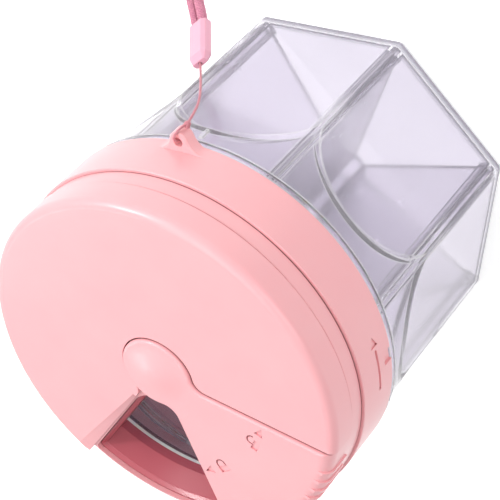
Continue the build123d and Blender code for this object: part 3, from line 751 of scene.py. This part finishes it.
def stainless_steel():
    """Bright steel with fine lines across its height."""
    made, tree, shader = new_material("stainless_steel", Metallic=1.0)
    place = add_node(tree, "ShaderNodeTexCoord").outputs["Object"]
    squeezed = add_node(tree, "ShaderNodeMapping", {"Vector": place, "Scale": (1.0, 1.0, 12.0)})
    lines = add_node(
        tree, "ShaderNodeTexNoise", {"Vector": squeezed, "Scale": per_mm(1.2), "Detail": 4.0},
    )
    colour = add_node(
        tree, "ShaderNodeMix",
        {0: lines, colour_a: linear("CFCDC8"), colour_b: linear("B9B7B3")},
        data_type="RGBA",
    )
    gloss = add_node(tree, "ShaderNodeMapRange", {"Value": lines, **noise_to(0.22, 0.38)})
    relief = add_node(tree, "ShaderNodeBump", {"Height": lines, "Distance": 0.004 * mm})
    set_inputs(tree, shader, {"Base Color": colour, "Roughness": gloss, "Normal": relief})
    return made


silicone, acetal, steel = silicone_rubber(), white_acetal(), stainless_steel()
print(silicone.name, acetal.name, steel.name)

# %% [markdown]
# ## Finishes for the CAD nodes
# The hard parts keep their CAD shape, which is exact, and only change their material slots.
# Collar, dial and cover are moulded from one batch of plastic, so they share one pink.

# %% Give every CAD node its finish
finished_nodes = [
    (clear_jar, ["jar_shell"]),
    (clear_divider, ["divider_insert"]),
    (silicone, ["neck_gasket", "seal_pad", "outlet_seal"]),
    (acetal, ["slip_ring", "selector_plate"]),
    (pink_abs, ["collar", "dial", "cover"]),
    (chute_shaded_abs, ["outlet_chute"]),
    (steel, ["click_spring", "screw_washer", "centre_screw"]),
    (bead_plastic, ["bead"]),
    (twisted_polyester, ["string_run", "string_hitch", "string_knot", "stopper_knot"]),
    (braided_polyester, ["strap_loop"]),
]
for finish, names in finished_nodes:
    for name in names:
        nodes[name].data.materials.clear()
        nodes[name].data.materials.append(finish)
print(sum(len(names) for finish, names in finished_nodes), "CAD nodes have a finish")

# %% [markdown]
# ## Floor
# The picture is a cut-out on white. The floor is plain and pale. To camera, mirror and
# glass rays it adds a glow, so it reads as white and keeps a soft shadow, while everything
# else is lit by it as by plain matt card.

# %% Floor
def seen_directly(tree):
    """1 for rays from the camera, from a mirror or through glass, else 0."""
    ray = add_node(tree, "ShaderNodeLightPath").outputs
    first_two = add_node(
        tree, "ShaderNodeMath", {0: ray["Is Camera Ray"], 1: ray["Is Glossy Ray"]}, operation="ADD",
    )
    all_three = {0: first_two, 1: ray["Is Transmission Ray"]}
    return add_node(tree, "ShaderNodeMath", all_three, operation="ADD", use_clamp=True)


def make_floor(half_side=4.0, glow_strength=0.55):
    """A large square of pale card under the object."""
    mesh = bpy.data.meshes.new("floor")
    corners = [(x * half_side, y * half_side, 0) for x, y in ((-1, -1), (1, -1), (1, 1), (-1, 1))]
    mesh.from_pydata(corners, [], [(0, 1, 2, 3)])
    card = bpy.data.materials.new("pale_card")
    card.use_nodes = True
    tree = card.node_tree
    tree.nodes.clear()
    matt = add_node(tree, "ShaderNodeBsdfDiffuse", {"Color": linear("F4F4F4")})
    strength = add_node(
        tree, "ShaderNodeMath", {0: seen_directly(tree), 1: glow_strength}, operation="MULTIPLY",
    )
    glow = add_node(tree, "ShaderNodeEmission", {"Color": linear("FFFFFF"), "Strength": strength})
    both = add_node(tree, "ShaderNodeAddShader", {0: matt, 1: glow})
    add_node(tree, "ShaderNodeOutputMaterial", {"Surface": both})
    mesh.materials.append(card)
    made = bpy.data.objects.new("floor", mesh)
    bpy.context.scene.collection.objects.link(made)
    return made


floor = make_floor()
print(floor.name, "is made of", floor.data.materials[0].name)

# %% [markdown]
# ## Sky and lamps
# The light is soft: a wide lamp from above, one from the front and one from the camera's
# side, under an even sky. Two small weak lamps make the glints that tell glossy plastic
# from matt: a streak on the cover's round shoulder and a spot on the domed hub. Each stands
# where the shoulder or the dome mirrors it to the camera.

# %% Sky and lamps
def make_sky(strength):
    """An even sky that looks white where it is seen directly."""
    world = bpy.data.worlds.new("studio")
    bpy.context.scene.world = world
    world.use_nodes = True
    tree = world.node_tree
    tree.nodes.clear()
    even = add_node(tree, "ShaderNodeBackground", {"Color": linear("FFFFFF"), "Strength": strength})
    white = add_node(tree, "ShaderNodeBackground", {"Color": linear("FFFFFF"), "Strength": 1.0})
    choice = add_node(tree, "ShaderNodeMixShader", {0: seen_directly(tree), 1: even, 2: white})
    add_node(tree, "ShaderNodeOutputWorld", {"Surface": choice})


def make_lamp(name, towards, distance, size, power):
    """A square soft box that faces the object's middle."""
    middle = Vector((0, 0, 0.06))
    away = Vector(towards).normalized()
    data = bpy.data.lights.new(name, "AREA")
    data.size = size
    data.energy = power
    made = bpy.data.objects.new(name, data)
    made.location = middle + away * distance
    made.rotation_euler = away.to_track_quat("Z", "Y").to_euler()
    bpy.context.scene.collection.objects.link(made)


make_sky(strength=0.38)
make_lamp("front_box", towards=(0.45, -0.75, 0.6), distance=1.1, size=0.7, power=3.8)
make_lamp("side_box", towards=(-0.8, -0.35, 0.6), distance=1.2, size=0.7, power=3.6)
make_lamp("top_box", towards=(0.1, -0.15, 1.0), distance=1.2, size=0.8, power=4.4)
make_lamp("shoulder_glint", towards=(0.49, -0.52, 0.7), distance=0.9, size=0.1, power=2.6)
make_lamp("hub_glint", towards=(0.68, 0.4, 0.62), distance=0.9, size=0.2, power=0.5)
print(len(bpy.data.lights), "lamps")
